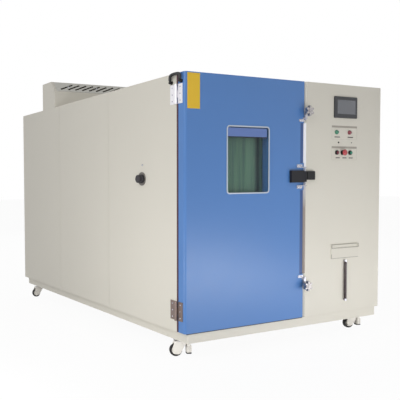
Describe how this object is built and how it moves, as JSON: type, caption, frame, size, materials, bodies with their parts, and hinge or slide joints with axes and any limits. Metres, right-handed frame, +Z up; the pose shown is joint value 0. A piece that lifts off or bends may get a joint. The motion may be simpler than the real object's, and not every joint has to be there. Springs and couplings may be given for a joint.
{
  "type": "environmental test chamber",
  "caption": "Walk-up climate test chamber on casters: hinged front door with window, clamps and latch, side control column, cable port, roof exhaust hood.",
  "frame": {"origin": "bottom centre of the whole chamber's bounding box, on the floor", "axes": "+Z up, -Y towards the operator in front of the door and control column, +X towards the control column side"},
  "size_m": [1.677, 2.4072, 1.862],
  "materials": {
    "cabinet_paint": "satin powder coat",
    "door_paint": "satin powder coat",
    "drawer_paint": "satin",
    "grille_paint": "satin powder coat",
    "breaker": "matte",
    "foam": "matte rigid foam",
    "stainless": "brushed",
    "zinc_steel": "bright zinc",
    "hinge_steel": "brushed",
    "trim_steel": "satin",
    "port_steel": "dark satin",
    "knob_metal": "satin",
    "black_plastic": "fine grain",
    "handle_plastic": "fine grain",
    "bezel_plastic": "satin",
    "screen": "gloss",
    "green_lens": "gloss",
    "red_lens": "gloss",
    "green_button": "gloss",
    "red_button": "gloss",
    "estop_red": "gloss",
    "gauge_glass": "clear",
    "window_glass": "tinted clear",
    "gasket_rubber": "matte",
    "plug_rubber": "matte",
    "brass_fitting": "satin",
    "fan_aluminium": "satin",
    "caster_ivory": "satin",
    "tyre": "matte",
    "hose_rubber": "ribbed matte"
  },
  "bodies": {
    "cabinet": {"plinth": "cabinet_paint", "caster_plates": "zinc_steel", "left_side_panels": "cabinet_paint", "right_side_panels": "cabinet_paint", "roof_panel": "cabinet_paint", "rear_panel": "cabinet_paint", "control_column": "cabinet_paint", "insulation": "foam", "chamber_liner": "stainless", "throat_frame": "breaker", "rear_baffle": "stainless", "exhaust_hood": "cabinet_paint", "hood_grille": "grille_paint", "port_sleeve": "port_steel", "cabinet_hinge_leaves": "hinge_steel", "cable_elbow_cabinet": "black_plastic", "wiring_hose": "hose_rubber", "latch_keeper": "black_plastic", "screen_bezel": "bezel_plastic", "touch_screen": "screen", "lamp_green": "green_lens", "lamp_red": "red_lens", "operator_collars": "black_plastic", "gauge_tube": "gauge_glass", "gauge_fittings": "zinc_steel", "power_gland": "black_plastic", "drain_stub": "brass_fitting", "shelf_rails": "stainless"},
    "door": {"door_shell": "door_paint", "door_liner": "stainless", "door_gasket": "gasket_rubber", "window_trim": "trim_steel", "window_glass": "window_glass", "door_hinge_leaves": "hinge_steel", "cable_elbow_door": "black_plastic", "latch_bracket": "zinc_steel", "clamp_brackets": "zinc_steel"},
    "latch_handle": {"latch_handle": "handle_plastic"},
    "clamp_arm_top": {"clamp_arm_top": "zinc_steel"},
    "clamp_arm_bottom": {"clamp_arm_bottom": "zinc_steel"},
    "clamp_knob_top": {"clamp_knob_top": "knob_metal"},
    "clamp_knob_bottom": {"clamp_knob_bottom": "knob_metal"},
    "red_button": {"red_button": "red_button"},
    "green_button": {"green_button": "green_button"},
    "estop_plunger": {"estop_plunger": "black_plastic"},
    "estop_head": {"estop_head": "estop_red"},
    "water_drawer": {"water_drawer": "drawer_paint"},
    "port_plug": {"port_plug": "plug_rubber"},
    "wire_shelf": {"wire_shelf": "stainless"},
    "circulation_fan": {"circulation_fan": "fan_aluminium"},
    "fork_front_left": {"fork_front_left": "caster_ivory"},
    "wheel_front_left": {"wheel_front_left": "tyre"},
    "brake_front_left": {"brake_front_left": "caster_ivory"},
    "fork_front_right": {"fork_front_right": "caster_ivory"},
    "wheel_front_right": {"wheel_front_right": "tyre"},
    "brake_front_right": {"brake_front_right": "caster_ivory"},
    "fork_rear_left": {"fork_rear_left": "caster_ivory"},
    "wheel_rear_left": {"wheel_rear_left": "tyre"},
    "fork_rear_right": {"fork_rear_right": "caster_ivory"},
    "wheel_rear_right": {"wheel_rear_right": "tyre"}
  },
  "joints": [
    {"name": "door_hinge", "type": "hinge", "parent": "cabinet", "child": "door", "pos_m": [-0.8125, -1.09035, 0.865], "axis": [0, 0, -1], "range_deg": [0, 115], "deforming": ["wiring_hose"]},
    {"name": "latch_pull", "type": "hinge", "parent": "door", "child": "latch_handle", "pos_m": [0.1205, -1.16935, 1.055], "axis": [0, 0, 1], "range_deg": [0, 55], "stiffness_Nm_per_rad": 1.5},
    {"name": "clamp_swing_top", "type": "hinge", "parent": "door", "child": "clamp_arm_top", "pos_m": [0.1285, -1.16435, 1.415], "axis": [0, 1, 0], "range_deg": [0, 90]},
    {"name": "clamp_knob_spin_top", "type": "hinge", "parent": "clamp_arm_top", "child": "clamp_knob_top", "pos_m": [0.1285, -1.16835, 1.46], "axis": [0, 1, 0], "continuous": true},
    {"name": "clamp_swing_bottom", "type": "hinge", "parent": "door", "child": "clamp_arm_bottom", "pos_m": [0.1285, -1.16435, 0.415], "axis": [0, -1, 0], "range_deg": [0, 90]},
    {"name": "clamp_knob_spin_bottom", "type": "hinge", "parent": "clamp_arm_bottom", "child": "clamp_knob_bottom", "pos_m": [0.1285, -1.16835, 0.37], "axis": [0, 1, 0], "continuous": true},
    {"name": "red_button_push", "type": "slide", "parent": "cabinet", "child": "red_button", "axis": [0, 1, 0], "range_m": [0, 0.004], "stiffness_N_per_m": 600},
    {"name": "green_button_push", "type": "slide", "parent": "cabinet", "child": "green_button", "axis": [0, 1, 0], "range_m": [0, 0.004], "stiffness_N_per_m": 600},
    {"name": "estop_push", "type": "slide", "parent": "cabinet", "child": "estop_plunger", "axis": [0, 1, 0], "range_m": [0, 0.004], "stiffness_N_per_m": 900},
    {"name": "estop_twist", "type": "hinge", "parent": "estop_plunger", "child": "estop_head", "pos_m": [0.4685, -1.17635, 1.208], "axis": [0, 1, 0], "range_deg": [0, 45], "stiffness_Nm_per_rad": 0.05},
    {"name": "water_drawer_slide", "type": "slide", "parent": "cabinet", "child": "water_drawer", "axis": [0, -1, 0], "range_m": [0, 0.12]},
    {"name": "port_plug_pull", "type": "slide", "parent": "cabinet", "child": "port_plug", "axis": [-1, 0, 0], "range_m": [0, 0.075]},
    {"name": "shelf_slide", "type": "slide", "parent": "cabinet", "child": "wire_shelf", "axis": [0, -1, 0], "range_m": [0, 0.19]},
    {"name": "fan_spin", "type": "hinge", "parent": "cabinet", "child": "circulation_fan", "pos_m": [-0.3315, -0.06135, 1.255], "axis": [0, 1, 0], "continuous": true},
    {"name": "swivel_front_left", "type": "hinge", "parent": "cabinet", "child": "fork_front_left", "pos_m": [-0.7215, -1.02635, 0.098], "axis": [0, 0, 1], "continuous": true},
    {"name": "roll_front_left", "type": "hinge", "parent": "fork_front_left", "child": "wheel_front_left", "pos_m": [-0.75413, -1.01114, 0.0375], "axis": [0.4226, 0.9063, 0], "continuous": true},
    {"name": "brake_pedal_front_left", "type": "hinge", "parent": "fork_front_left", "child": "brake_front_left", "pos_m": [-0.69766, -1.03747, 0.084], "axis": [0.4226, 0.9063, 0], "range_deg": [0, 14]},
    {"name": "swivel_front_right", "type": "hinge", "parent": "cabinet", "child": "fork_front_right", "pos_m": [0.7585, -1.02635, 0.098], "axis": [0, 0, 1], "continuous": true},
    {"name": "roll_front_right", "type": "hinge", "parent": "fork_front_right", "child": "wheel_front_right", "pos_m": [0.72329, -1.01886, 0.0375], "axis": [0.2079, 0.9781, 0], "continuous": true},
    {"name": "brake_pedal_front_right", "type": "hinge", "parent": "fork_front_right", "child": "brake_front_right", "pos_m": [0.78422, -1.03182, 0.084], "axis": [0.2079, 0.9781, 0], "range_deg": [0, 14]},
    {"name": "swivel_rear_left", "type": "hinge", "parent": "cabinet", "child": "fork_rear_left", "pos_m": [-0.7215, 1.01365, 0.098], "axis": [0, 0, 1], "continuous": true},
    {"name": "roll_rear_left", "type": "hinge", "parent": "fork_rear_left", "child": "wheel_rear_left", "pos_m": [-0.7575, 1.01365, 0.0375], "axis": [0, 1, 0], "continuous": true},
    {"name": "swivel_rear_right", "type": "hinge", "parent": "cabinet", "child": "fork_rear_right", "pos_m": [0.7585, 1.01365, 0.098], "axis": [0, 0, 1], "continuous": true},
    {"name": "roll_rear_right", "type": "hinge", "parent": "fork_rear_right", "child": "wheel_rear_right", "pos_m": [0.7225, 1.01365, 0.0375], "axis": [0, 1, 0], "continuous": true}
  ]
}
